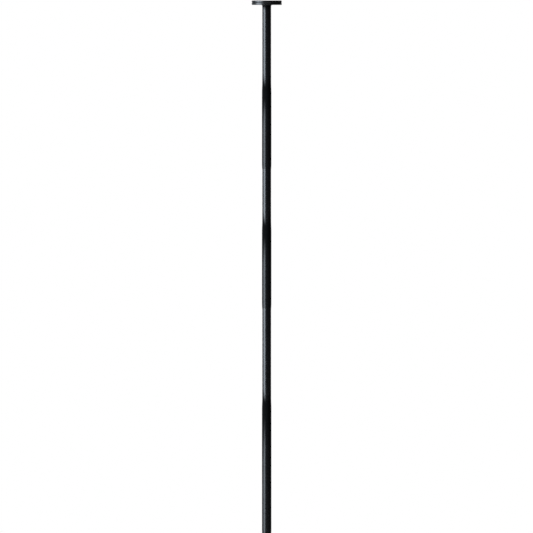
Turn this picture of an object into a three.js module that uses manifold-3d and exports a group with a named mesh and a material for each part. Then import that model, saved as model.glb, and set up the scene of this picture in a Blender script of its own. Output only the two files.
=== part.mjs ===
// Sectional plant stake. Four thin steel tubes push together end over end under a flat round head:
// the flared lower end of each tube is a socket for the plain top end of the tube below it. A moulded
// cap snaps onto the head by a barbed stem, and a turned point closes the foot.
// Millimetres, +Z up. The origin is on the stake's axis at the soil line.

import * as THREE from "three";
import { mergeVertices } from "three/addons/utils/BufferGeometryUtils.js";
import Module from "manifold-3d";

const wasm = await Module();
wasm.setup();

// Tube stock
const TUBE_DIAMETER = 20;
const TUBE_WALL = 0.5;

// Push joints
const SEAT_GAP = 0.05; // between a seated top end and the flare round its edge, on the radius
const SEAT_BITE = 0.05; // how far the flare has closed in where a top end seats, on the radius
const FLARE_LENGTH = 24;
const RIM_TAPER_LENGTH = 12;
const RIM_LIP = 0.15; // wall left at the very edge of a tapered rim
const LEAD_IN_LENGTH = 2;
const LEAD_IN_DEPTH = 0.2; // how far a top end's edge is turned in

// Lengths that show, each from the rim or plate above a tube down to its own rim
const UPPER_REACH = 368.5;
const MIDDLE_REACH = 314;
const LOWER_REACH = 510;

// Parallel length of each socket, from its rim up to its flare
const UPPER_SOCKET = 170;
const MIDDLE_SOCKET = 172;
const LOWER_SOCKET = 284;

// Head
const PLATE_DIAMETER = 68;
const PLATE_THICKNESS = 5.4;
const PLATE_EDGE_RADIUS = 1.2;
const CAP_DIAMETER = 68;
const CAP_THICKNESS = 4.7;
const CAP_TOP_EDGE_RADIUS = 1.4;
const CAP_BASE_EDGE_RADIUS = 1.1;
const CAP_STEM_DIAMETER = 8;
const STEM_CLEARANCE = 0.2; // between the cap's stem and the hole in the plate, on the radius
const BARB_DIAMETER = 11;
const BARB_LENGTH = 7;
const BARB_GAP = 0.3; // between the barb's shoulder and the underside of the plate
const BARB_NOSE_DIAMETER = 5;
const WELD_LEG = 1.8;
const WELD_TOE = 0.2; // thickness of the bead at each of its toes
const WELD_GAP = 0.1; // between the bead and the tube, on the radius

// Ground section
const RIM_ABOVE_SOIL = 30;
const GROUND_TUBE_DEPTH = 180;
const SPIKE_SHOULDER_LENGTH = 6;
const SPIKE_SHOULDER_CHAMFER = 0.3; // leaves a fine line round the foot of the tube
const SPIKE_TAPER_LENGTH = 64;
const SPIKE_TIP_DIAMETER = 3;
const SHANK_LENGTH = 45;
const SHANK_CLEARANCE = 0.1; // between the spike's shank and the tube round it, on the radius
const SHANK_CHAMFER = 1.5;
const PIN_DIAMETER = 4;
const PIN_WALL = 0.8;
const PIN_SLOT = 1.2;
const PIN_CLEARANCE = 0.1; // between the pin and its hole, on the radius
const PIN_RECESS = 0.2; // how far each end of the pin lies below the tube's surface

// Facets
const ROUND_SEGMENTS = 48;
const PIN_SEGMENTS = 24;
const CURVE_STEPS = 6;
const EDGE_STEPS = 2;

// Sizes that follow
const tubeRadius = TUBE_DIAMETER / 2;
const boreRadius = tubeRadius - TUBE_WALL;
const socketRadius = tubeRadius + SEAT_GAP + SEAT_BITE;
const bellRadius = socketRadius + TUBE_WALL;
const plateHoleRadius = CAP_STEM_DIAMETER / 2 + STEM_CLEARANCE;
const pinHeight = SHANK_LENGTH / 2;

const lowerRim = RIM_ABOVE_SOIL;
const middleRim = lowerRim + LOWER_REACH;
const upperRim = middleRim + MIDDLE_REACH;
const plateBase = upperRim + UPPER_REACH;

/** How far past a socket's parallel length a top end goes before it seats in the flare. */
function seatRise() {
  const narrowing = SEAT_BITE / (socketRadius - boreRadius);
  const along = 0.5 - Math.sin(Math.asin(1 - 2 * narrowing) / 3);
  return along * FLARE_LENGTH;
}

/** A solid of revolution about Z, from a closed outline of radius and height. */
function revolve(outline, steps) {
  const lathe = new THREE.LatheGeometry(outline.getPoints(steps), ROUND_SEGMENTS);
  return lathe.rotateX(Math.PI / 2);
}

/** A geometry as a solid that can be cut. */
function solidFrom(geometry) {
  const bare = geometry.clone();
  bare.deleteAttribute("normal");
  bare.deleteAttribute("uv");
  const merged = mergeVertices(bare);
  return new wasm.Manifold(
    new wasm.Mesh({
      numProp: 3,
      vertProperties: merged.attributes.position.array,
      triVerts: new Uint32Array(merged.index.array),
    }),
  );
}

/** One geometry with another cut out of it. */
function cut(geometry, tool) {
  const mesh = solidFrom(geometry).subtract(solidFrom(tool)).getMesh();
  const result = new THREE.BufferGeometry();
  result.setAttribute("position", new THREE.BufferAttribute(mesh.vertProperties, mesh.numProp));
  result.setIndex(new THREE.BufferAttribute(mesh.triVerts, 1));
  result.computeVertexNormals();
  return result;
}

/** Adds a smooth change of radius to an outline, level with the wall at both ends. */
function flareTo(outline, fromRadius, fromHeight, toRadius, toHeight) {
  const third = (toHeight - fromHeight) / 3;
  outline.bezierCurveTo(
    fromRadius, fromHeight + third,
    toRadius, toHeight - third,
    toRadius, toHeight,
  );
}

/** A tube whose lower end is flared into a socket with a tapered rim at height 0. */
function socketTube(length, socketLength, leadIn) {
  const flareTop = socketLength + FLARE_LENGTH;
  const outline = new THREE.Path();
  outline.moveTo(socketRadius, 0);
  outline.lineTo(socketRadius + RIM_LIP, 0);
  flareTo(outline, socketRadius + RIM_LIP, 0, bellRadius, RIM_TAPER_LENGTH);
  outline.lineTo(bellRadius, socketLength);
  flareTo(outline, bellRadius, socketLength, tubeRadius, flareTop);
  topEnd(outline, length, leadIn);
  outline.lineTo(boreRadius, flareTop);
  flareTo(outline, boreRadius, flareTop, socketRadius, socketLength);
  outline.closePath();
  return revolve(outline, CURVE_STEPS);
}

/** Carries an outline up to a tube's top end, round its edge and into the bore. */
function topEnd(outline, height, leadIn) {
  if (leadIn) {
    outline.lineTo(tubeRadius, height - LEAD_IN_LENGTH);
    outline.lineTo(tubeRadius - LEAD_IN_DEPTH, height);
  } else {
    outline.lineTo(tubeRadius, height);
  }
  outline.lineTo(boreRadius, height);
}

/** The pin's round outline, opened out by a clearance, as a bar along Y. */
function pinHole() {
  const radius = PIN_DIAMETER / 2 + PIN_CLEARANCE;
  return new THREE.CylinderGeometry(radius, radius, 2 * TUBE_DIAMETER, PIN_SEGMENTS);
}

/** The plain tube that stands in the soil, from its lower edge at height 0 to its top end. */
function groundTube(length) {
  const outline = new THREE.Path();
  outline.moveTo(boreRadius, 0);
  outline.lineTo(tubeRadius, 0);
  topEnd(outline, length, true);
  outline.closePath();
  const hole = pinHole().translate(0, 0, pinHeight);
  return cut(revolve(outline, EDGE_STEPS), hole);
}

/** The turned point, with its shoulder at height 0, its shank above and its taper below. */
function groundSpike() {
  const shankRadius = boreRadius - SHANK_CLEARANCE;
  const tipRadius = SPIKE_TIP_DIAMETER / 2;
  const tip = -SPIKE_SHOULDER_LENGTH - SPIKE_TAPER_LENGTH;
  const outline = new THREE.Path();
  outline.moveTo(0, tip);
  outline.absarc(0, tip + tipRadius, tipRadius, -Math.PI / 2, 0, false);
  outline.lineTo(tubeRadius, -SPIKE_SHOULDER_LENGTH);
  outline.lineTo(tubeRadius, -SPIKE_SHOULDER_CHAMFER);
  outline.lineTo(tubeRadius - SPIKE_SHOULDER_CHAMFER, 0);
  outline.lineTo(shankRadius, 0);
  outline.lineTo(shankRadius, SHANK_LENGTH - SHANK_CHAMFER);
  outline.lineTo(shankRadius - SHANK_CHAMFER, SHANK_LENGTH);
  outline.lineTo(0, SHANK_LENGTH);
  const hole = pinHole().translate(0, 0, pinHeight);
  return cut(revolve(outline, EDGE_STEPS), hole);
}

/** A slotted spring pin along Y, centred on the origin. */
function springPin() {
  const outer = PIN_DIAMETER / 2;
  const inner = outer - PIN_WALL;
  const outerSlot = Math.asin(PIN_SLOT / 2 / outer);
  const innerSlot = Math.asin(PIN_SLOT / 2 / inner);
  const section = new THREE.Shape();
  section.absarc(0, 0, outer, outerSlot, 2 * Math.PI - outerSlot, false);
  section.absarc(0, 0, inner, 2 * Math.PI - innerSlot, innerSlot, true);
  section.closePath();
  const length = TUBE_DIAMETER - 2 * PIN_RECESS;
  const pin = new THREE.ExtrudeGeometry(section, {
    depth: length,
    bevelEnabled: false,
    curveSegments: PIN_SEGMENTS / 2,
  });
  return pin.translate(0, 0, -length / 2).rotateX(Math.PI / 2);
}

/** The head's steel disc, with its underside at height 0 and a hole for the cap's stem. */
function headPlate() {
  const edge = PLATE_EDGE_RADIUS;
  const inset = PLATE_DIAMETER / 2 - edge;
  const outline = new THREE.Path();
  outline.moveTo(plateHoleRadius, 0);
  outline.lineTo(inset, 0);
  outline.absarc(inset, edge, edge, -Math.PI / 2, 0, false);
  outline.lineTo(PLATE_DIAMETER / 2, PLATE_THICKNESS - edge);
  outline.absarc(inset, PLATE_THICKNESS - edge, edge, 0, Math.PI / 2, false);
  outline.lineTo(plateHoleRadius, PLATE_THICKNESS);
  outline.closePath();
  return revolve(outline, EDGE_STEPS);
}

/** The bead that joins the plate's underside, at height 0, to the tube. */
function headWeld() {
  const root = tubeRadius + WELD_GAP;
  const outline = new THREE.Path();
  outline.moveTo(root, -WELD_LEG);
  outline.lineTo(root + WELD_TOE, -WELD_LEG);
  outline.quadraticCurveTo(root + WELD_LEG / 3, -WELD_LEG / 3, root + WELD_LEG, -WELD_TOE);
  outline.lineTo(root + WELD_LEG, 0);
  outline.lineTo(root, 0);
  outline.closePath();
  return revolve(outline, CURVE_STEPS);
}

/** The moulded cap, with its base at height 0 and its barbed stem below. */
function headCap() {
  const radius = CAP_DIAMETER / 2;
  const topEdge = CAP_TOP_EDGE_RADIUS;
  const baseEdge = CAP_BASE_EDGE_RADIUS;
  const stemRadius = CAP_STEM_DIAMETER / 2;
  const shoulder = -PLATE_THICKNESS - BARB_GAP;
  const outline = new THREE.Path();
  outline.moveTo(0, shoulder - BARB_LENGTH);
  outline.lineTo(BARB_NOSE_DIAMETER / 2, shoulder - BARB_LENGTH);
  outline.lineTo(BARB_DIAMETER / 2, shoulder);
  outline.lineTo(stemRadius, shoulder);
  outline.lineTo(stemRadius, 0);
  outline.lineTo(radius - baseEdge, 0);
  outline.absarc(radius - baseEdge, baseEdge, baseEdge, -Math.PI / 2, 0, false);
  outline.lineTo(radius, CAP_THICKNESS - topEdge);
  outline.absarc(radius - topEdge, CAP_THICKNESS - topEdge, topEdge, 0, Math.PI / 2, false);
  outline.lineTo(0, CAP_THICKNESS);
  return revolve(outline, EDGE_STEPS);
}

/** The black semi-gloss coat on the steel pieces. */
function blackCoat() {
  return new THREE.MeshStandardMaterial({ color: 0x0d0e0f, roughness: 0.34, metalness: 0 });
}

/** Black moulded plastic. */
function blackPlastic() {
  return new THREE.MeshStandardMaterial({ color: 0x0f1010, roughness: 0.38, metalness: 0 });
}

/** Bare spring steel. */
function springSteel() {
  return new THREE.MeshStandardMaterial({ color: 0x8c8f92, roughness: 0.4, metalness: 1 });
}

/** A named mesh at a height of its own in the group that holds it. */
function piece(name, geometry, material, height) {
  const mesh = new THREE.Mesh(geometry, material);
  mesh.name = name;
  mesh.position.z = height;
  return mesh;
}

/** A group of pieces that moves as one, at a height on the stake. */
function section(height, ...pieces) {
  const group = new THREE.Group();
  group.position.z = height;
  group.add(...pieces);
  return group;
}

const rise = seatRise();
const head = section(
  plateBase - upperRim,
  piece("head_plate", headPlate(), blackCoat(), 0),
  piece("head_weld", headWeld(), blackCoat(), 0),
  piece("head_cap", headCap(), blackPlastic(), PLATE_THICKNESS),
);
const upperSection = section(
  upperRim,
  piece("upper_tube", socketTube(UPPER_REACH, UPPER_SOCKET, false), blackCoat(), 0),
  head,
);
const middleSection = section(
  middleRim,
  piece(
    "middle_tube",
    socketTube(MIDDLE_REACH + UPPER_SOCKET + rise, MIDDLE_SOCKET, true),
    blackCoat(),
    0,
  ),
);
const lowerSection = section(
  lowerRim,
  piece(
    "lower_tube",
    socketTube(LOWER_REACH + MIDDLE_SOCKET + rise, LOWER_SOCKET, true),
    blackCoat(),
    0,
  ),
);
const groundSection = section(
  -GROUND_TUBE_DEPTH,
  piece(
    "ground_tube",
    groundTube(GROUND_TUBE_DEPTH + RIM_ABOVE_SOIL + LOWER_SOCKET + rise),
    blackCoat(),
    0,
  ),
  piece("ground_spike", groundSpike(), blackCoat(), 0),
  piece("spike_pin", springPin(), springSteel(), pinHeight),
);

const plantStake = new THREE.Group();
plantStake.name = "plant_stake";
plantStake.add(groundSection, lowerSection, middleSection, upperSection);

export default plantStake;
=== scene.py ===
"""Looks of a sectional plant stake, dressed over its CAD frame. Metres, +Z up, camera on -Y."""

import logging
import math
from dataclasses import dataclass
from enum import Enum, IntEnum
from typing import Any, ClassVar, Optional, Union

import bmesh
import bpy
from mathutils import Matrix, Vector


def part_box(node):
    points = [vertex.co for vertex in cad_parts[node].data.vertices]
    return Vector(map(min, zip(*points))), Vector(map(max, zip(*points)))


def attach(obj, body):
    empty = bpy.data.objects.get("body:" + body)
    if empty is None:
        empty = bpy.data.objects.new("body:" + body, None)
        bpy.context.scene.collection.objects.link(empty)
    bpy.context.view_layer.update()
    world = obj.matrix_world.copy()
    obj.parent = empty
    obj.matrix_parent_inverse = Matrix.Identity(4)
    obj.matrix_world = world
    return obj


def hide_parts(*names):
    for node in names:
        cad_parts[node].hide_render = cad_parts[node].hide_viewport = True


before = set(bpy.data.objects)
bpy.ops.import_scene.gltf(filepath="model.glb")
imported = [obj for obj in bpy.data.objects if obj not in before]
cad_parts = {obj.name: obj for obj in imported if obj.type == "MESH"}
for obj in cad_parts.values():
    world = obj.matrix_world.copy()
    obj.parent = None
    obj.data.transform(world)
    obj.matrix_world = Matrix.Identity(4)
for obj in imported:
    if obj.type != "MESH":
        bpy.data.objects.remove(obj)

LOG = logging.getLogger("plant_stake")
MM = 0.001

# Facets of a full turn, and steps of a curved stretch
TUBE_FACETS = 128
HEAD_FACETS = 160
DRILL_FACETS = 48
PIN_FACETS = 40
RIPPLE_FACETS = 8
FLOOR_FACETS = 96
FLARE_STEPS = 14
ROUND_STEPS = 6
BEAD_STEPS = 8

# Radius of the circle that carries an outline round Z
SWING = 10 * MM
# Handle of a quarter round, as a share of its radius
QUARTER_ROUND = 0.5523
# Length of a drill, in radii of the tube that it goes through
DRILL_REACH = 3
# Points this near to each other are one, and heights this near are level
TOUCHING = 0.002 * MM
LEVEL = 0.01 * MM
# A face is inside where its radius, times how far it looks towards the axis, is over this
INWARD = 1 * MM
# An edge that bends more than this stays crisp
CRISP = math.radians(32)

Material = bpy.types.Material
Key = Union[str, int]
Number = Union["Value", float, int]
Spot = tuple[Number, Number]
Span = tuple[float, float]
Triple = tuple[float, float, float]
Colour = tuple[float, float, float, float]

WHITE: Colour = (1.0, 1.0, 1.0, 1.0)


class Body(Enum):
    """The sections that slide on each other."""

    GROUND = "ground_section"
    LOWER = "lower_section"
    MIDDLE = "middle_section"
    UPPER = "upper_section"


class Slot(Enum):
    """The finishes that the record names."""

    COAT = "black_coat"
    CAP = "cap_plastic"
    STEEL = "spring_steel"


class Trace(Enum):
    """Numbers that a piece's surface carries for its finish to read. One that it lacks reads as 0."""

    # Height from the foot of the flare, in socket lengths below it and shade band reaches above it; it places
    # the painted shade on the socket and round the flare
    FLARE_SHARE = "flare_share"
    # 0 in front and behind, and more towards the sides, where the tube's painted shade is stronger
    SIDE = "side"
    # Height over the rim that a top end goes up into, and over the top end itself, where the painted shade
    # under the head fades in
    SEAT_RISE = "seat_rise"
    END_RISE = "end_rise"
    # 1 inside a tube
    BORE = "bore"
    # 1 at the plate's underside, and less up its edge, where the plate's gloss is cut as painted shade
    THIN_EDGE = "thin_edge"
    # 1 on the cap's flat top, which is dull and painted paler as a sheen
    FLAT_TOP = "flat_top"


class ColourMix(IntEnum):
    """The sockets of a Mix node that mixes colours."""

    SHARE = 0
    FIRST = 6
    SECOND = 7
    RESULT = 2


@dataclass(frozen=True)
class Solid:
    """The reach of one of the frame's solids, in mm."""

    node: str

    @property
    def foot(self) -> float:
        """Height of its lowest point."""
        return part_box(self.node)[0].z / MM

    @property
    def top(self) -> float:
        """Height of its highest point."""
        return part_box(self.node)[1].z / MM

    @property
    def radius(self) -> float:
        """Its greatest radius."""
        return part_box(self.node)[1].x / MM


@dataclass(frozen=True)
class Value:
    """One output of a node, to reckon with as Python reckons."""

    graph: "Graph"
    owner: bpy.types.Node
    output: Key

    @property
    def socket(self) -> bpy.types.NodeSocket:
        """The output itself."""
        return self.owner.outputs[self.output]

    def __add__(self, other: Number) -> "Value":
        """This value and another together."""
        return self.graph.math("ADD", self, other)

    def __sub__(self, other: Number) -> "Value":
        """This value less another."""
        return self.graph.math("SUBTRACT", self, other)

    def __rsub__(self, other: Number) -> "Value":
        """Another value less this one."""
        return self.graph.math("SUBTRACT", other, self)

    def __neg__(self) -> "Value":
        """This value with its sign turned."""
        return 0 - self

    def __mul__(self, other: Number) -> "Value":
        """This value times another."""
        return self.graph.math("MULTIPLY", self, other)

    def __truediv__(self, other: Number) -> "Value":
        """This value over another."""
        return self.graph.math("DIVIDE", self, other)

    __radd__ = __add__
    __rmul__ = __mul__

    def rise(self, start: float, end: float) -> "Value":
        """A soft step, from 0 at start to 1 at end."""
        ends = {"Value": self, "From Min": start, "From Max": end}
        return self.graph.node("ShaderNodeMapRange", {"interpolation_type": "SMOOTHSTEP"}, ends)

    def part(self, name: str) -> "Value":
        """Another output of the same node."""
        return Value(self.graph, self.owner, name)


class Graph:
    """A node tree that grows by one node at a time."""

    def __init__(self, tree: bpy.types.NodeTree) -> None:
        """Start on a tree."""
        self.tree = tree

    def node(
        self,
        kind: str,
        settings: Optional[dict[str, Any]] = None,
        inputs: Optional[dict[Key, Any]] = None,
        output: Key = 0,
    ) -> Value:
        """Add a node.

        Args:
            kind: The node's type.
            settings: Its properties, which are set first.
            inputs: A value, a link or a list of links for each socket, by name or number.
            output: The output to hand on.

        Returns:
            That output. Nothing reads it where the node starts or ends a tree.
        """
        made = self.tree.nodes.new(kind)
        for name, setting in (settings or {}).items():
            setattr(made, name, setting)
        for name, given in (inputs or {}).items():
            for single in given if isinstance(given, list) else [given]:
                if isinstance(single, Value):
                    self.tree.links.new(single.socket, made.inputs[name])
                else:
                    made.inputs[name].default_value = single
        return Value(self, made, output)

    def math(self, operation: str, *operands: Number) -> Value:
        """The result of one step of arithmetic."""
        return self.node("ShaderNodeMath", {"operation": operation}, dict(enumerate(operands)))


class Paint(Graph):
    """The nodes of one material."""

    def __init__(self, name: str) -> None:
        """Start an empty material.

        Args:
            name: The material's name.
        """
        self.material = bpy.data.materials.new(name)
        self.material.use_nodes = True
        self.material.node_tree.nodes.clear()
        super().__init__(self.material.node_tree)

    def place(self) -> Value:
        """Where a point lies on the object."""
        return self.node("ShaderNodeTexCoord", output="Object")

    def grain(self, per_m: float, detail: float = 2.0, stretch: Triple = (1.0, 1.0, 1.0)) -> Value:
        """Soft noise of a given fineness, drawn out along an axis where stretch is small.

        Args:
            per_m: Grains in a metre.
            detail: How many finer layers it has.
            stretch: Its fineness along X, Y and Z, as shares of per_m.

        Returns:
            A value about one half.
        """
        laid = self.node("ShaderNodeMapping", inputs={"Vector": self.place(), "Scale": stretch})
        given = {"Vector": laid, "Scale": per_m, "Detail": detail}
        return self.node("ShaderNodeTexNoise", inputs=given)

    def trace(self, trace: Trace) -> Value:
        """A number that the piece's own surface carries."""
        return self.node("ShaderNodeAttribute", {"attribute_name": trace.value}, output="Fac")

    def mix(self, share: Number, first: Any, second: Any) -> Value:
        """A colour between two others."""
        given = {ColourMix.SHARE: share, ColourMix.FIRST: first, ColourMix.SECOND: second}
        return self.node("ShaderNodeMix", {"data_type": "RGBA"}, given, ColourMix.RESULT)

    def bump(self, strength: float, depth: float, height: Value) -> Value:
        """The fine relief of a surface."""
        given = {"Strength": strength, "Distance": depth, "Height": height}
        return self.node("ShaderNodeBump", inputs=given)

    def finish(self, surface: Value) -> Material:
        """Show a shader on the surface, and hand the material on."""
        self.node("ShaderNodeOutputMaterial", inputs={"Surface": surface})
        return self.material


@dataclass(frozen=True)
class Layers:
    """A coat on its way to the shader."""

    colour: Value
    gloss: Value
    roughness: Value
    metal: Number = 0.0


@dataclass(frozen=True)
class BlackCoat:
    """Black coat baked on steel: a clear glossy top over a dull black ground.

    The top lies in fine cells, as powder does once it has melted, and its gloss is cut as painted shade on a
    marked lower edge.
    """

    name: str = "black_coat"
    gloss: float = 1.0
    ground_shine: float = 0.2
    deep: Colour = (0.0042, 0.0045, 0.0048, 1)
    pale: Colour = (0.0066, 0.0070, 0.0074, 1)
    blotches_per_m: float = 70.0
    blotch_detail: float = 3.0
    cells_per_m: float = 1100.0
    cell: Span = (0.36, 0.64)
    cell_relief: float = 0.25
    cell_depth: float = 0.03 * MM
    least_gloss: float = 0.66
    blotch_gloss: float = 0.12
    cell_gloss: float = 0.26
    edge_shade_loss: float = 0.75
    least_roughness: float = 0.42
    blotch_roughness: float = 0.12
    top_roughness: float = 0.27
    top_ior: float = 1.78

    def material(self) -> Material:
        """Lay the coat.

        Returns:
            The finished material.
        """
        paint = Paint(self.name)
        blotches = paint.grain(self.blotches_per_m, self.blotch_detail)
        cells = paint.grain(self.cells_per_m)
        colour = paint.mix(blotches, self.deep, self.pale)
        gloss = self.least_gloss + self.blotch_gloss * blotches + self.cell_gloss * cells.rise(*self.cell)
        # Painted shade: less gloss on the plate's lower edge, so that it does not shine
        gloss = self.gloss * gloss * (1 - self.edge_shade_loss * paint.trace(Trace.THIN_EDGE))
        roughness = self.least_roughness + self.blotch_roughness * blotches
        left = self.worn(paint, Layers(colour, gloss, roughness))
        surface = {
            "Base Color": left.colour,
            "Roughness": left.roughness,
            "Metallic": left.metal,
            "Coat Weight": left.gloss,
            "Specular IOR Level": self.ground_shine,
            "Coat Roughness": self.top_roughness,
            "Coat IOR": self.top_ior,
            "Normal": paint.bump(self.cell_relief, self.cell_depth, cells),
        }
        return paint.finish(paint.node("ShaderNodeBsdfPrincipled", inputs=surface))

    def worn(self, paint: Paint, whole: Layers) -> Layers:
        """What use and painted shade leave of the coat, which is all of it here."""
        return whole


@dataclass(frozen=True)
class TubeCoat(BlackCoat):
    """The coat on a drawn tube.

    Its top follows faint drawing lines. As painted shade its gloss is cut on the socket, most of all at the
    sides, and taken away at the top end, which shows under the head, and in a band round the flare, which
    reaches farther along the sides. The length that slides in a socket is scuffed, and the bore is bare
    steel.
    """

    name: str = "tube_coat"
    ground_shine: float = 0.01
    scuffed: Colour = (0.022, 0.023, 0.024, 1)
    bare: Colour = (0.20, 0.20, 0.21, 1)
    draw_lines_per_m: float = 1400.0
    draw_line_stretch: float = 0.004
    draw_line_gloss: float = 0.16
    scratches_per_m: float = 900.0
    scratch_stretch: float = 0.02
    scratch: Span = (0.5, 0.68)
    shade_band_below: Span = (-0.36, -0.04)
    shade_band_above: Span = (0.062, 0.197)
    shade_band_roughness: float = 0.14
    side_shade_up: float = 1.3
    side_shade_down: float = 3.0
    end_shade_fade: Span = (-18 * MM, -2 * MM)
    socket_shade_edge: Span = (-0.03, 0.10)
    socket_shade_loss: float = 0.32
    side_shade_loss: float = 0.5
    seat_edge: Span = (1 * MM, 9 * MM)
    scuff_cover: float = 0.7
    scuff_loss: float = 0.6
    scuff_roughness: float = 0.1

    def worn(self, paint: Paint, whole: Layers) -> Layers:
        """Take the top off where the tube is rubbed, and cut its gloss as painted shade where the highlight
        is dimmed.

        Args:
            paint: The material's nodes.
            whole: The coat as it was laid.

        Returns:
            What is left of it.
        """
        along = paint.trace(Trace.FLARE_SHARE)
        side = paint.trace(Trace.SIDE)
        over = 1 + self.side_shade_up * side
        under = 1 + self.side_shade_down * side * side
        # Painted shade: gloss taken away in a band round the flare and at the top end, under the head
        band = (along / under).rise(*self.shade_band_below) * (1 - (along / over).rise(*self.shade_band_above))
        end = (paint.trace(Trace.END_RISE) * over).rise(*self.end_shade_fade)
        dull = paint.math("MAXIMUM", band, end)
        # Painted shade: gloss cut on the socket, more at the sides
        socket = (1 - along.rise(*self.socket_shade_edge)) * (self.socket_shade_loss + self.side_shade_loss * side)
        lines = paint.grain(self.draw_lines_per_m, stretch=(1.0, 1.0, self.draw_line_stretch))
        scratches = paint.grain(self.scratches_per_m, stretch=(1.0, 1.0, self.scratch_stretch))
        scuff = paint.trace(Trace.SEAT_RISE).rise(*self.seat_edge) * scratches.rise(*self.scratch)
        bore = paint.trace(Trace.BORE)
        gloss = whole.gloss * (1 - self.draw_line_gloss / 2 + self.draw_line_gloss * lines)
        gloss = gloss * (1 - socket) * (1 - dull) * (1 - self.scuff_loss * scuff) * (1 - bore)
        roughness = whole.roughness + self.shade_band_roughness * dull + self.scuff_roughness * scuff
        colour = paint.mix(scuff * self.scuff_cover, whole.colour, self.scuffed)
        return Layers(paint.mix(bore, colour, self.bare), gloss, roughness, bore)


@dataclass(frozen=True)
class CapPlastic:
    """Black moulded plastic with a fine even grain, which is dull on the flat top, and painted paler there as
    a sheen.
    """

    deep: Colour = (0.0046, 0.0048, 0.0049, 1)
    pale: Colour = (0.0070, 0.0073, 0.0075, 1)
    top_sheen_deep: Colour = (0.010, 0.010, 0.0105, 1)
    top_sheen_pale: Colour = (0.026, 0.0265, 0.027, 1)
    clouds_per_m: float = 55.0
    grains_per_m: float = 1500.0
    pit: Span = (0.36, 0.64)
    grain_relief: float = 0.3
    grain_depth: float = 0.02 * MM
    flat_relief: float = 2.0
    least_gloss: float = 0.62
    cloud_gloss: float = 0.12
    pit_gloss: float = 0.26
    flat_loss: float = 0.95
    least_roughness: float = 0.40
    grain_roughness: float = 0.14
    flat_roughness: float = 0.3
    ground_shine: float = 0.12
    top_roughness: float = 0.30
    top_ior: float = 1.77

    def material(self) -> Material:
        """Mould the plastic's surface.

        Returns:
            The finished material.
        """
        paint = Paint("cap_plastic")
        clouds = paint.grain(self.clouds_per_m)
        grain = paint.grain(self.grains_per_m)
        pits = grain.rise(*self.pit)
        flat = paint.trace(Trace.FLAT_TOP)
        edge = paint.mix(clouds, self.deep, self.pale)
        # Painted sheen: the flat top is paler than the edge
        top = paint.mix(pits, self.top_sheen_deep, self.top_sheen_pale)
        gloss = self.least_gloss + self.cloud_gloss * clouds + self.pit_gloss * pits
        relief = grain * (1 + self.flat_relief * flat)
        surface = {
            "Base Color": paint.mix(flat, edge, top),
            "Roughness": self.least_roughness + self.grain_roughness * grain + self.flat_roughness * flat,
            "Coat Weight": gloss * (1 - self.flat_loss * flat),
            "Specular IOR Level": self.ground_shine,
            "Coat Roughness": self.top_roughness,
            "Coat IOR": self.top_ior,
            "Normal": paint.bump(self.grain_relief, self.grain_depth, relief),
        }
        return paint.finish(paint.node("ShaderNodeBsdfPrincipled", inputs=surface))


@dataclass(frozen=True)
class SpringSteel:
    """Bare spring steel, rolled along the pin."""

    bright: Colour = (0.46, 0.47, 0.48, 1)
    dull: Colour = (0.30, 0.31, 0.32, 1)
    rolling_per_m: float = 2400.0
    rolling_stretch: float = 0.05
    rolling_relief: float = 0.2
    rolling_depth: float = 0.01 * MM
    least_roughness: float = 0.28
    rolling_roughness: float = 0.2

    def material(self) -> Material:
        """Roll the steel's surface.

        Returns:
            The finished material.
        """
        paint = Paint("spring_steel")
        rolling = paint.grain(self.rolling_per_m, stretch=(1.0, self.rolling_stretch, 1.0))
        surface = {
            "Base Color": paint.mix(rolling, self.dull, self.bright),
            "Roughness": self.least_roughness + self.rolling_roughness * rolling,
            "Metallic": 1.0,
            "Normal": paint.bump(self.rolling_relief, self.rolling_depth, rolling),
        }
        return paint.finish(paint.node("ShaderNodeBsdfPrincipled", inputs=surface))


@dataclass(frozen=True)
class PaleFloor:
    """Pale floor that fades into the white round it."""

    light: Colour = (0.88, 0.85, 0.81, 1)
    shade: Colour = (0.82, 0.79, 0.75, 1)
    patches_per_m: float = 3.0
    patch_detail: float = 3.0
    roughness: float = 0.7
    glow: float = 0.62
    fade: Span = (0.7, 1.9)

    def material(self) -> Material:
        """Mix the floor's own shade with the white that the camera sees.

        Returns:
            The finished material.
        """
        paint = Paint("pale_floor")
        patches = paint.grain(self.patches_per_m, self.patch_detail)
        ground = {"Base Color": paint.mix(patches, self.shade, self.light), "Roughness": self.roughness}
        lit = paint.node("ShaderNodeBsdfPrincipled", inputs=ground)
        white = paint.node("ShaderNodeEmission", inputs={"Color": WHITE, "Strength": 1.0})
        clear = paint.node("ShaderNodeBsdfTransparent")
        seen = paint.node("ShaderNodeLightPath", output="Is Camera Ray")
        reach = paint.node("ShaderNodeVectorMath", {"operation": "LENGTH"}, {0: paint.place()}, "Value")
        pale = paint.node("ShaderNodeMixShader", inputs={0: seen * self.glow, 1: lit, 2: white})
        gone = reach.rise(*self.fade)
        return paint.finish(paint.node("ShaderNodeMixShader", inputs={0: gone, 1: pale, 2: clear}))


def stand(name: str, data: bpy.types.ID, place: Triple = (0.0, 0.0, 0.0)) -> bpy.types.Object:
    """Put an object into the scene.

    Args:
        name: Its name.
        data: Its mesh, lamp or camera.
        place: Where it stands, in metres.

    Returns:
        The object.
    """
    thing = bpy.data.objects.new(name, data)
    thing.location = place
    bpy.context.scene.collection.objects.link(thing)
    return thing


def look_at(thing: bpy.types.Object, aim: Triple) -> None:
    """Turn a lamp or a camera towards a point."""
    way = Vector(aim) - thing.location
    thing.rotation_euler = way.to_track_quat("-Z", "Y").to_euler()


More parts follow.
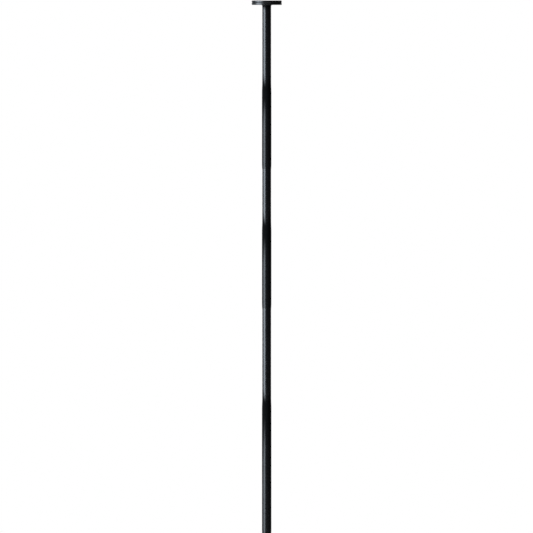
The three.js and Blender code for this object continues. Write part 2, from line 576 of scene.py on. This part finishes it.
class Lathe(Graph):
    """A shape tree that turns one closed outline of radius and height round Z."""

    def __init__(self, name: str) -> None:
        """Start an empty tree with a mesh as its result.

        Args:
            name: The tree's name.
        """
        super().__init__(bpy.data.node_groups.new(name, "GeometryNodeTree"))
        self.tree.interface.new_socket("Geometry", in_out="OUTPUT", socket_type="NodeSocketGeometry")
        self.entry = self.node("NodeGroupInput")
        self.stretches: list[Value] = []
        self.swing: Number = SWING
        self.pen: Spot = (0.0, 0.0)

    def size(self, name: str, kind: str = "NodeSocketFloat") -> Value:
        """Add a named input."""
        self.tree.interface.new_socket(name, in_out="INPUT", socket_type=kind)
        return self.entry.part(name)

    def sizes(self, *names: str) -> list[Value]:
        """Add several named sizes."""
        return [self.size(name) for name in names]

    def spot(self, spot: Spot) -> Value:
        """A point of the outline, as the circle that carries it lays it out."""
        return self.node("ShaderNodeCombineXYZ", inputs={"X": spot[0] - self.swing, "Y": -spot[1]})

    def move_to(self, start: Spot) -> None:
        """Start the outline."""
        self.pen = start

    def line_to(self, *spots: Spot) -> None:
        """Add straight stretches.

        Args:
            spots: Where each of them ends.
        """
        for end in spots:
            ends = {"Start": self.spot(self.pen), "End": self.spot(end)}
            self.stretches.append(self.node("GeometryNodeCurvePrimitiveLine", {"mode": "POINTS"}, ends))
            self.pen = end

    def curve_to(self, first: Spot, second: Spot, end: Spot, steps: int) -> None:
        """Add a curved stretch.

        Args:
            first: Handle that the curve leaves towards.
            second: Handle that it arrives from.
            end: Where it ends.
            steps: How many straight pieces it is made of.
        """
        given = {
            "Resolution": steps,
            "Start": self.spot(self.pen),
            "Start Handle": self.spot(first),
            "End Handle": self.spot(second),
            "End": self.spot(end),
        }
        kind = "GeometryNodeCurvePrimitiveBezierSegment"
        self.stretches.append(self.node(kind, {"mode": "POSITION"}, given))
        self.pen = end

    def flare_to(self, end: Spot) -> None:
        """Add a smooth change of radius, level with the wall at both ends.

        Args:
            end: Where it ends.
        """
        third = (end[1] - self.pen[1]) / 3
        first = (self.pen[0], self.pen[1] + third)
        self.curve_to(first, (end[0], end[1] - third), end, FLARE_STEPS)

    def round_to(self, corner: Spot, end: Spot) -> None:
        """Add a quarter round.

        Args:
            corner: The corner that it bulges towards.
            end: Where it ends.
        """
        first = tuple(a + QUARTER_ROUND * (c - a) for a, c in zip(self.pen, corner))
        second = tuple(b + QUARTER_ROUND * (c - b) for b, c in zip(end, corner))
        self.curve_to(first, second, end, ROUND_STEPS)

    def turned(self, facets: int, scale: Number = 1.0) -> Value:
        """Sweep the outline round Z.

        Args:
            facets: Facets in a full turn.
            scale: The outline's size along the turn.

        Returns:
            The closed mesh.
        """
        around = {"Resolution": facets, "Radius": self.swing}
        path = self.node("GeometryNodeCurvePrimitiveCircle", {"mode": "RADIUS"}, around)
        outline = self.node("GeometryNodeJoinGeometry", inputs={0: self.stretches})
        given = {"Curve": path, "Profile Curve": outline, "Scale": scale}
        swept = self.node("GeometryNodeCurveToMesh", inputs=given)
        return self.node("GeometryNodeFlipFaces", inputs={0: self.merged(swept)})

    def merged(self, mesh: Value) -> Value:
        """Join the points of a mesh that lie on each other."""
        return self.node("GeometryNodeMergeByDistance", inputs={0: mesh, "Distance": TOUCHING})

    def drilled(self, mesh: Value, height: Number, radius: Number, reach: Number) -> Value:
        """Bore a hole along Y.

        Args:
            mesh: What is bored.
            height: The hole's middle.
            radius: The hole's radius.
            reach: The drill's length.

        Returns:
            The mesh with its hole.
        """
        tool = {"Vertices": DRILL_FACETS, "Radius": radius, "Depth": reach}
        bar = self.node("GeometryNodeMeshCylinder", {"fill_type": "NGON"}, tool)
        middle = self.node("ShaderNodeCombineXYZ", inputs={"Z": height})
        turn = {"Geometry": bar, "Translation": middle, "Rotation": (math.pi / 2, 0, 0)}
        drill = self.node("GeometryNodeTransform", inputs=turn)
        cut = {"Mesh 1": mesh, "Mesh 2": drill}
        bored = self.node("GeometryNodeMeshBoolean", {"operation": "DIFFERENCE", "solver": "EXACT"}, cut)
        return self.merged(bored)

    def traced(self, mesh: Value, trace: Trace, value: Number, domain: str = "POINT") -> Value:
        """Leave a number on the surface, for its finish to read.

        Args:
            mesh: What gets the number.
            trace: Its name.
            value: The number at each point or face.
            domain: POINT where it blends from point to point, FACE where each face has its own.

        Returns:
            The mesh with the number on it.
        """
        given = {"Geometry": mesh, "Name": trace.value, "Value": value}
        settings = {"data_type": "FLOAT", "domain": domain}
        return self.node("GeometryNodeStoreNamedAttribute", settings, given)

    def height(self) -> Value:
        """How high a point lies."""
        where = self.node("GeometryNodeInputPosition")
        return self.node("ShaderNodeSeparateXYZ", inputs={0: where}, output="Z")

    def side(self) -> Value:
        """How far round to the side a point lies.

        Returns:
            0 in front and behind, and 1 on the X axis.
        """
        where = self.node("GeometryNodeInputPosition")
        across = self.node("ShaderNodeSeparateXYZ", inputs={0: where}, output="X")
        deep = across.part("Y")
        return across * across / (across * across + deep * deep)

    def inside(self) -> Value:
        """Whether a face looks towards the axis.

        Returns:
            1 where it does, and 0 elsewhere.
        """
        given = {0: self.node("GeometryNodeInputPosition"), 1: (1.0, 1.0, 0.0)}
        level = self.node("ShaderNodeVectorMath", {"operation": "MULTIPLY"}, given)
        facing = {0: level, 1: self.node("GeometryNodeInputNormal")}
        out = self.node("ShaderNodeVectorMath", {"operation": "DOT_PRODUCT"}, facing, "Value")
        return self.math("LESS_THAN", out, -INWARD)

    def close(self, mesh: Value) -> "Lathe":
        """Shade the mesh smooth between its crisp edges, dress it, and end the tree.

        Args:
            mesh: The finished form.

        Returns:
            This tree.
        """
        given = {"Geometry": mesh, "Shade Smooth": True}
        smooth = self.node("GeometryNodeSetShadeSmooth", {"domain": "FACE"}, given)
        bend = self.node("GeometryNodeInputMeshEdgeAngle")
        edges = {
            "Geometry": smooth,
            "Selection": self.math("GREATER_THAN", bend, CRISP),
            "Shade Smooth": False,
        }
        shaded = self.node("GeometryNodeSetShadeSmooth", {"domain": "EDGE"}, edges)
        real = self.node("GeometryNodeRealizeInstances", inputs={0: shaded})
        skin = {"Geometry": real, "Material": self.size("Finish", "NodeSocketMaterial")}
        dressed = self.node("GeometryNodeSetMaterial", inputs=skin)
        self.node("NodeGroupOutput", inputs={0: dressed})
        return self

    def make(self, name: str, sizes: dict[str, float], finish: Material) -> bpy.types.Object:
        """Turn one piece.

        Args:
            name: The piece's name.
            sizes: The tree's inputs by name, in millimetres.
            finish: The piece's material.

        Returns:
            The piece as a plain mesh.
        """
        piece = stand(name, bpy.data.meshes.new(name))
        modifier = piece.modifiers.new("Shape", "NODES")
        modifier.node_group = self.tree
        for item in self.tree.interface.items_tree:
            if item.in_out == "INPUT":
                modifier[item.identifier] = finish if item.name == "Finish" else sizes[item.name] * MM
        graph = bpy.context.evaluated_depsgraph_get()
        mesh = bpy.data.meshes.new_from_object(
            piece.evaluated_get(graph), preserve_all_data_layers=True, depsgraph=graph
        )
        piece.modifiers.remove(modifier)
        piece.data = mesh
        mesh.name = name
        return piece


def seat(piece: bpy.types.Object, body: Body, node: str) -> None:
    """Put a finished piece in its place in the frame.

    Args:
        piece: The finished piece.
        body: The section that it moves with.
        node: The solid that it stands for.
    """
    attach(piece, body.value)
    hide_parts(node)
    LOG.info("%s: %d faces, on %s", piece.name, len(piece.data.polygons), body.value)


@dataclass(frozen=True)
class TubeStock:
    """Sizes, in mm, that all the tubes share."""

    wall: float = 0.5
    flare: float = 24.0
    seat_bite: float = 0.05
    rim_taper: float = 12.0
    rim_lip: float = 0.15
    lead_in: float = 2.0
    lead_depth: float = 0.2

    @property
    def radius(self) -> float:
        """Outer radius, which the ground tube keeps from end to end."""
        return Solid("ground_tube").radius

    @property
    def bore(self) -> float:
        """Radius of the bore."""
        return self.radius - self.wall

    def wedge_rise(self, socket: float) -> float:
        """How far up a flare a top end goes, until the flare has closed in on it by its bite.

        Args:
            socket: Radius of the socket under the flare.

        Returns:
            The height over the flare's foot.
        """
        narrowing = self.seat_bite / (socket - self.bore)
        share = 0.5 - math.sin(math.asin(1 - 2 * narrowing) / 3)
        return share * self.flare


@dataclass(frozen=True)
class SocketTube:
    """A drawn tube whose lower end is flared into a socket over the tube named as below.

    That tube's top end goes up the socket and wedges in the flare. The top end of this one reaches the solid
    named as above, and goes up inside it where that is a tube.
    """

    # Height over the flare that counts as 1 in its share, and the most that a side counts, for the painted
    # shade round the flare and on the sides
    SHADE_BAND_REACH: ClassVar[float] = 170 * MM
    SIDE_SHADE_END: ClassVar[float] = 0.5

    stock: TubeStock
    node: str
    body: Body
    above: str
    below: str
    square_end: bool = False

    @staticmethod
    def shape() -> Lathe:
        """Draw and flare a tube.

        Returns:
            The tree that does so.
        """
        lathe = Lathe("flared_tube")
        tube, bore, socket, wall = lathe.sizes("Tube Radius", "Bore Radius", "Socket Radius", "Wall")
        rim, top, seat_height, length = lathe.sizes("Rim Height", "Top", "Seat Height", "Socket Length")
        flare, taper, lip = lathe.sizes("Flare Length", "Rim Taper", "Rim Lip")
        lead, depth = lathe.sizes("Lead In", "Lead Depth")
        bell = socket + wall
        shoulder = rim + length
        neck = shoulder + flare
        lathe.move_to((socket, rim))
        lathe.line_to((socket + lip, rim))
        lathe.flare_to((bell, rim + taper))
        lathe.line_to((bell, shoulder))
        lathe.flare_to((tube, neck))
        lathe.line_to((tube, top - lead), (tube - depth, top), (bore, top), (bore, neck))
        lathe.flare_to((socket, shoulder))
        lathe.line_to((socket, rim))
        mesh = lathe.turned(TUBE_FACETS)
        over_shoulder = lathe.height() - shoulder
        below = lathe.math("MINIMUM", over_shoulder, 0.0) / length
        over = lathe.math("MAXIMUM", over_shoulder, 0.0) / SocketTube.SHADE_BAND_REACH
        # Traces that place the painted shade on the socket, round the flare and on the sides
        side = lathe.math("MINIMUM", lathe.side(), SocketTube.SIDE_SHADE_END)
        mesh = lathe.traced(mesh, Trace.FLARE_SHARE, below + over)
        mesh = lathe.traced(mesh, Trace.SIDE, side)
        mesh = lathe.traced(mesh, Trace.SEAT_RISE, lathe.height() - seat_height)
        mesh = lathe.traced(mesh, Trace.END_RISE, lathe.height() - top)
        mesh = lathe.traced(mesh, Trace.BORE, lathe.inside(), "FACE")
        return lathe.close(mesh)

    def build(self, shape: Lathe, finish: Material) -> None:
        """Draw the tube and seat it.

        Args:
            shape: The tree that draws it.
            finish: Its material.
        """
        solid = Solid(self.node)
        socket = solid.radius - self.stock.wall
        seated = Solid(self.below).top - solid.foot
        sizes = {
            "Tube Radius": self.stock.radius,
            "Bore Radius": self.stock.bore,
            "Socket Radius": socket,
            "Wall": self.stock.wall,
            "Rim Height": solid.foot,
            "Top": solid.top,
            "Seat Height": Solid(self.above).foot,
            "Socket Length": seated - self.stock.wedge_rise(socket),
            "Flare Length": self.stock.flare,
            "Rim Taper": self.stock.rim_taper,
            "Rim Lip": self.stock.rim_lip,
            "Lead In": self.stock.lead_in,
            "Lead Depth": 0.0 if self.square_end else self.stock.lead_depth,
        }
        seat(shape.make("drawn_" + self.node, sizes, finish), self.body, self.node)


@dataclass(frozen=True)
class Head:
    """The round head: a steel plate welded on the upper tube, with a moulded cap snapped into it. In mm."""

    # How far up the plate's edge its gloss is cut as painted shade, in radii of that edge
    EDGE_SHADE_REACH: ClassVar[float] = 1.5
    # The weld's ripples and its slower sway, in counts round the bead and shares of its size
    RIPPLES: ClassVar[int] = 46
    RIPPLE_DEPTH: ClassVar[float] = 0.10
    SWAYS: ClassVar[int] = 5
    SWAY_DEPTH: ClassVar[float] = 0.03

    plate_edge: float = 1.2
    cap_top_edge: float = 1.4
    cap_base_edge: float = 1.1
    stem: float = 4.0
    stem_gap: float = 0.2
    barb: float = 5.5
    barb_gap: float = 0.3
    barb_nose: float = 2.5
    weld_toe: float = 0.2

    @staticmethod
    def plate_shape() -> Lathe:
        """Turn the plate.

        Returns:
            The tree that does so.
        """
        lathe = Lathe("head_plate")
        radius, hole, under, top, edge = lathe.sizes("Radius", "Hole Radius", "Under", "Top", "Edge")
        lathe.move_to((hole, under))
        lathe.line_to((radius - edge, under))
        lathe.round_to((radius, under), (radius, under + edge))
        lathe.line_to((radius, top - edge))
        lathe.round_to((radius, top), (radius - edge, top))
        lathe.line_to((hole, top), (hole, under))
        mesh = lathe.turned(HEAD_FACETS)
        # Painted shade on the plate's lower edge
        edge_shade_share = 1 - (lathe.height() - under) / (Head.EDGE_SHADE_REACH * edge)
        return lathe.close(lathe.traced(mesh, Trace.THIN_EDGE, lathe.math("MAXIMUM", edge_shade_share, 0.0)))

    @staticmethod
    def cap_shape() -> Lathe:
        """Mould the cap and its barbed stem.

        Returns:
            The tree that does so.
        """
        lathe = Lathe("head_cap")
        radius, under, top = lathe.sizes("Radius", "Under", "Top")
        top_edge, base_edge, stem = lathe.sizes("Top Edge", "Base Edge", "Stem Radius")
        shoulder, barb, nose, foot = lathe.sizes("Shoulder", "Barb Radius", "Nose Radius", "Foot")
        lathe.move_to((0.0, foot))
        lathe.line_to((nose, foot), (barb, shoulder), (stem, shoulder), (stem, under))
        lathe.line_to((radius - base_edge, under))
        lathe.round_to((radius, under), (radius, under + base_edge))
        lathe.line_to((radius, top - top_edge))
        lathe.round_to((radius, top), (radius - top_edge, top))
        lathe.line_to((0.0, top))
        mesh = lathe.turned(HEAD_FACETS)
        flat = lathe.math("GREATER_THAN", lathe.height(), top - LEVEL)
        return lathe.close(lathe.traced(mesh, Trace.FLAT_TOP, flat, "FACE"))

    @staticmethod
    def weld_shape() -> Lathe:
        """Lay the bead, with a ripple for each step of the torch.

        Returns:
            The tree that does so.
        """
        lathe = Lathe("head_weld")
        root, under, leg, toe = lathe.sizes("Root Radius", "Under", "Leg", "Toe")
        lathe.swing = root
        lathe.move_to((root, -leg))
        lathe.line_to((root + toe, -leg))
        pull = (root + leg / 3, -leg / 3)
        lathe.curve_to(pull, pull, (root + leg, -toe), BEAD_STEPS)
        lathe.line_to((root + leg, 0.0), (root, 0.0), (root, -leg))
        turn = lathe.node("GeometryNodeSplineParameter", output="Factor")
        # Half a facet on, so that no point lies where one ripple ends and the next starts
        step = lathe.math("FRACT", turn * Head.RIPPLES + 0.5 / RIPPLE_FACETS)
        sway = lathe.math("SINE", turn * (2 * math.pi * Head.SWAYS))
        swell = 1 - Head.RIPPLE_DEPTH * step * step - Head.SWAY_DEPTH * (1 - sway)
        mesh = lathe.turned(Head.RIPPLES * RIPPLE_FACETS, swell)
        place = lathe.node("ShaderNodeCombineXYZ", inputs={"Z": under})
        return lathe.close(lathe.node("GeometryNodeTransform", inputs={0: mesh, "Translation": place}))

    def build(self, coat: Material, dull: Material, plastic: Material) -> None:
        """Make the plate, its weld and the cap, and seat them.

        Args:
            coat: The plate's material.
            dull: The weld's material.
            plastic: The cap's material.
        """
        disc, bead, cover = Solid("head_plate"), Solid("head_weld"), Solid("head_cap")
        leg = disc.foot - bead.foot
        plate = {
            "Radius": disc.radius,
            "Hole Radius": self.stem + self.stem_gap,
            "Under": disc.foot,
            "Top": disc.top,
            "Edge": self.plate_edge,
        }
        weld = {"Root Radius": bead.radius - leg, "Under": disc.foot, "Leg": leg, "Toe": self.weld_toe}
        cap = {
            "Radius": cover.radius,
            "Under": disc.top,
            "Top": cover.top,
            "Top Edge": self.cap_top_edge,
            "Base Edge": self.cap_base_edge,
            "Stem Radius": self.stem,
            "Shoulder": disc.foot - self.barb_gap,
            "Barb Radius": self.barb,
            "Nose Radius": self.barb_nose,
            "Foot": cover.foot,
        }
        seat(self.plate_shape().make("turned_plate", plate, coat), Body.UPPER, "head_plate")
        seat(self.weld_shape().make("plate_weld", weld, dull), Body.UPPER, "head_weld")
        seat(self.cap_shape().make("moulded_cap", cap, plastic), Body.UPPER, "head_cap")


@dataclass(frozen=True)
class GroundSection:
    """The foot: a plain tube, the turned point in its lower end, and the spring pin that holds it. In mm."""

    # The flare share of a tube that has no flare
    PLAIN: ClassVar[float] = 1.0

    stock: TubeStock
    shoulder: float = 6.0
    broken_edge: float = 0.3
    tip: float = 1.5
    shank_gap: float = 0.1
    chamfer: float = 1.5
    pin: float = 2.0
    pin_wall: float = 0.8
    pin_slot: float = 1.2
    pin_gap: float = 0.1
    pin_recess: float = 0.2
    pin_chamfer: float = 0.35
    window: float = 4.0

    @property
    def pin_height(self) -> float:
        """Height of the pin, half way up the shank."""
        return (Solid("ground_tube").foot + Solid("ground_spike").top) / 2

    @staticmethod
    def tube_shape() -> Lathe:
        """Draw the plain tube and bore it for the pin.

        Returns:
            The tree that does so.
        """
        lathe = Lathe("plain_tube")
        tube, bore, foot, top = lathe.sizes("Tube Radius", "Bore Radius", "Foot", "Top")
        lead, depth, seat_height = lathe.sizes("Lead In", "Lead Depth", "Seat Height")
        pin, hole, window = lathe.sizes("Pin Height", "Hole Radius", "Window")
        lathe.move_to((bore, foot))
        lathe.line_to((tube, foot), (tube, pin - window), (tube, pin + window), (tube, top - lead))
        lathe.line_to((tube - depth, top), (bore, top))
        lathe.line_to((bore, pin + window), (bore, pin - window), (bore, foot))
        mesh = lathe.drilled(lathe.turned(TUBE_FACETS), pin, hole, tube * DRILL_REACH)
        mesh = lathe.traced(mesh, Trace.FLARE_SHARE, GroundSection.PLAIN)
        mesh = lathe.traced(mesh, Trace.SEAT_RISE, lathe.height() - seat_height)
        mesh = lathe.traced(mesh, Trace.END_RISE, lathe.height() - top)
        mesh = lathe.traced(mesh, Trace.BORE, lathe.inside(), "FACE")
        return lathe.close(mesh)

    @staticmethod
    def spike_shape() -> Lathe:
        """Turn the point and bore its shank for the pin.

        Returns:
            The tree that does so.
        """
        lathe = Lathe("ground_spike")
        tube, shank, tip = lathe.sizes("Tube Radius", "Shank Radius", "Tip Radius")
        foot, point, shoulder, top = lathe.sizes("Foot", "Point", "Shoulder", "Shank Top")
        chamfer, edge, pin = lathe.sizes("Chamfer", "Broken Edge", "Pin Height")
        hole, window = lathe.sizes("Hole Radius", "Window")
        lathe.move_to((0.0, point))
        lathe.round_to((tip, point), (tip, point + tip))
        lathe.line_to((tube, foot - shoulder), (tube, foot - edge), (tube - edge, foot), (shank, foot))
        lathe.line_to((shank, pin - window), (shank, pin + window))
        lathe.line_to((shank, top - chamfer), (shank - chamfer, top), (0.0, top))
        return lathe.close(lathe.drilled(lathe.turned(TUBE_FACETS), pin, hole, tube * DRILL_REACH))

    def rolled_pin(self, steel: Material) -> bpy.types.Object:
        """Roll the slotted pin.

        Args:
            steel: The pin's material.

        Returns:
            The pin in its place.
        """
        half = self.stock.radius - self.pin_recess
        stations = [
            (-half, self.pin_chamfer),
            (self.pin_chamfer - half, 0.0),
            (half - self.pin_chamfer, 0.0),
            (half, self.pin_chamfer),
        ]
        form = bmesh.new()
        rings = []
        for along, inset in stations:
            outer = self.pin_arc(form, along, self.pin - inset)
            inner = self.pin_arc(form, along, self.pin - self.pin_wall)
            rings.append(outer + inner[::-1])
        count = len(rings[0])
        for lower, upper in zip(rings, rings[1:]):
            for k in range(count):
                after = (k + 1) % count
                form.faces.new((lower[k], lower[after], upper[after], upper[k]))
        for end in (rings[0], rings[-1]):
            for k in range(PIN_FACETS):
                form.faces.new((end[k], end[k + 1], end[count - 2 - k], end[count - 1 - k]))
        bmesh.ops.recalc_face_normals(form, faces=form.faces)
        mesh = bpy.data.meshes.new("rolled_pin")
        form.to_mesh(mesh)
        form.free()
        mesh.shade_smooth()
        mesh.set_sharp_from_angle(angle=CRISP)
        mesh.materials.append(steel)
        return stand("rolled_pin", mesh)

    def pin_arc(self, form: bmesh.types.BMesh, along: float, radius: float) -> list[bmesh.types.BMVert]:
        """Lay points round the pin, from one side of its slot to the other.

        Args:
            form: The mesh that gets the points.
            along: Where they lie on the pin's length, in mm.
            radius: How far they lie from the pin's middle, in mm.

        Returns:
            The points in order.
        """
        slot = math.asin(self.pin_slot / 2 / radius)
        points = []
        for k in range(PIN_FACETS + 1):
            turn = slot + (2 * math.pi - 2 * slot) * k / PIN_FACETS
            height = self.pin_height + radius * math.sin(turn)
            points.append(form.verts.new((radius * math.cos(turn) * MM, along * MM, height * MM)))
        return points

    def build(self, tube: Material, coat: Material, steel: Material) -> None:
        """Make the tube, the point and the pin, and seat them.

        Args:
            tube: The tube's material.
            coat: The point's material.
            steel: The pin's material.
        """
        pipe, spike = Solid("ground_tube"), Solid("ground_spike")
        pinned = {
            "Pin Height": self.pin_height,
            "Hole Radius": self.pin + self.pin_gap,
            "Window": self.window,
            "Tube Radius": self.stock.radius,
            "Foot": pipe.foot,
        }
        plain = {
            "Bore Radius": self.stock.bore,
            "Top": pipe.top,
            "Lead In": self.stock.lead_in,
            "Lead Depth": self.stock.lead_depth,
            "Seat Height": Solid("lower_tube").foot,
        }
        point = {
            "Shank Radius": self.stock.bore - self.shank_gap,
            "Tip Radius": self.tip,
            "Point": spike.foot,
            "Shoulder": self.shoulder,
            "Shank Top": spike.top,
            "Chamfer": self.chamfer,
            "Broken Edge": self.broken_edge,
        }
        drawn = self.tube_shape().make("drawn_ground_tube", {**pinned, **plain}, tube)
        turned = self.spike_shape().make("turned_spike", {**pinned, **point}, coat)
        seat(drawn, Body.GROUND, "ground_tube")
        seat(turned, Body.GROUND, "ground_spike")
        seat(self.rolled_pin(steel), Body.GROUND, "spike_pin")


@dataclass(frozen=True)
class Softbox:
    """A flat soft lamp that looks at the stake."""

    name: str
    place: Triple
    aim: Triple
    width: float
    tall: float
    radiance: float
    colour: Triple

    def hang(self) -> None:
        """Put the lamp up."""
        lamp = bpy.data.lights.new(self.name, "AREA")
        lamp.shape = "RECTANGLE"
        lamp.size = self.width
        lamp.size_y = self.tall
        lamp.color = self.colour
        lamp.energy = self.radiance * math.pi * self.width * self.tall
        holder = stand(self.name, lamp, self.place)
        holder.visible_camera = False
        look_at(holder, self.aim)


@dataclass(frozen=True)
class Studio:
    """Floor, soft light, white surroundings and the camera. Metres and degrees."""

    floor_radius: float = 1.9
    camera_distance: float = 20.0
    camera_height: float = 1.2263
    camera_side: float = -0.0004
    aim_height: float = 0.63396
    lens: float = 600.4
    sensor: float = 36.0
    sight: Span = (0.1, 100.0)
    lamp_height: float = 0.75
    lamp_tall: float = 3.4
    top_lamp_height: float = 3.0
    top_lamp_size: float = 2.0
    top_lamp_aim: Triple = (0.0, 0.01, 0.0)
    plain: Triple = (1.0, 1.0, 1.0)
    cool: Triple = (0.80, 0.90, 1.0)
    back: Span = (0.86, 0.97)
    gloss_dim: float = 0.035
    diffuse_dim: float = 0.12

    def lay_floor(self) -> None:
        """Lay a round pale floor under the point."""
        form = bmesh.new()
        bmesh.ops.create_circle(form, cap_ends=True, segments=FLOOR_FACETS, radius=self.floor_radius)
        mesh = bpy.data.meshes.new("floor")
        form.to_mesh(mesh)
        form.free()
        mesh.materials.append(PaleFloor().material())
        floor = stand("floor", mesh, (0.0, 0.0, Solid("ground_spike").foot * MM))

    def hang_beside(
        self, name: str, bearing: float, distance: float, width: float, radiance: float, colour: Triple
    ) -> None:
        """Hang a tall lamp beside the stake.

        Args:
            name: The lamp's name.
            bearing: Degrees to the left of the way to the camera.
            distance: Metres from the stake.
            width: The lamp's width in metres.
            radiance: How bright its face is.
            colour: The light's colour.
        """
        turn = math.radians(bearing)
        place = (-distance * math.sin(turn), -distance * math.cos(turn), self.lamp_height)
        aim = (0.0, 0.0, self.lamp_height)
        Softbox(name, place, aim, width, self.lamp_tall, radiance, colour).hang()

    def hang_lamps(self) -> None:
        """Hang a tall lamp on the left, dim ones behind, and one overhead."""
        cool, plain = self.cool, self.plain
        self.hang_beside("left_lamp", bearing=63.0, distance=2.0, width=1.78, radiance=4.68, colour=cool)
        self.hang_beside("left_rear_lamp", bearing=122.0, distance=2.2, width=2.0, radiance=0.22, colour=cool)
        self.hang_beside("rear_lamp", bearing=165.0, distance=2.5, width=1.1, radiance=1.2, colour=plain)
        over, size = (0.0, 0.0, self.top_lamp_height), self.top_lamp_size
        Softbox("top_lamp", over, self.top_lamp_aim, size, size, radiance=1.2, colour=plain).hang()

    def surround(self) -> None:
        """Make the surroundings white to the camera, and dim to the light that falls on the stake."""
        world = bpy.data.worlds.new("white_room")
        world.use_nodes = True
        world.node_tree.nodes.clear()
        graph = Graph(world.node_tree)
        path = graph.node("ShaderNodeLightPath", output="Is Camera Ray")
        way = graph.node("ShaderNodeTexCoord", output="Generated")
        back = graph.node("ShaderNodeSeparateXYZ", inputs={0: way}, output="Y").rise(*self.back)
        white = graph.math("MAXIMUM", path, path.part("Is Transmission Ray"))
        white = graph.math("MAXIMUM", white, path.part("Is Glossy Ray") * back)
        dim = self.gloss_dim + (self.diffuse_dim - self.gloss_dim) * path.part("Is Diffuse Ray")
        given = {"Color": WHITE, "Strength": dim + white * (1 - dim)}
        sky = graph.node("ShaderNodeBackground", inputs=given)
        graph.node("ShaderNodeOutputWorld", inputs={"Surface": sky})
        bpy.context.scene.world = world

    def set_camera(self) -> None:
        """Stand the camera far off, level with the head."""
        lens = bpy.data.cameras.new("camera")
        lens.lens = self.lens
        lens.sensor_width = self.sensor
        lens.clip_start, lens.clip_end = self.sight
        camera = stand("camera", lens, (self.camera_side, -self.camera_distance, self.camera_height))
        look_at(camera, (self.camera_side, 0.0, self.aim_height))
        bpy.context.scene.camera = camera

    def build(self) -> None:
        """Set the studio up."""
        self.lay_floor()
        self.hang_lamps()
        self.surround()
        self.set_camera()
        bpy.context.scene.view_settings.view_transform = "Standard"


def main() -> None:
    """Build the stake section by section, then the studio."""
    logging.basicConfig(level=logging.INFO, format="%(name)s: %(message)s")
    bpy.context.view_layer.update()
    stock = TubeStock()
    coat = BlackCoat().material()
    tube_coat = TubeCoat().material()
    weld_coat = BlackCoat(name="weld_coat", gloss=0.08, ground_shine=0.01).material()
    GroundSection(stock).build(tube_coat, coat, SpringSteel().material())
    tubes = [
        SocketTube(stock, "lower_tube", Body.LOWER, above="middle_tube", below="ground_tube"),
        SocketTube(stock, "middle_tube", Body.MIDDLE, above="upper_tube", below="lower_tube"),
        SocketTube(stock, "upper_tube", Body.UPPER, above="head_plate", below="middle_tube", square_end=True),
    ]
    tube_shape = SocketTube.shape()
    for tube in tubes:
        tube.build(tube_shape, tube_coat)
    Head().build(coat, weld_coat, CapPlastic().material())
    Studio().build()


if __name__ == "__main__":
    main()
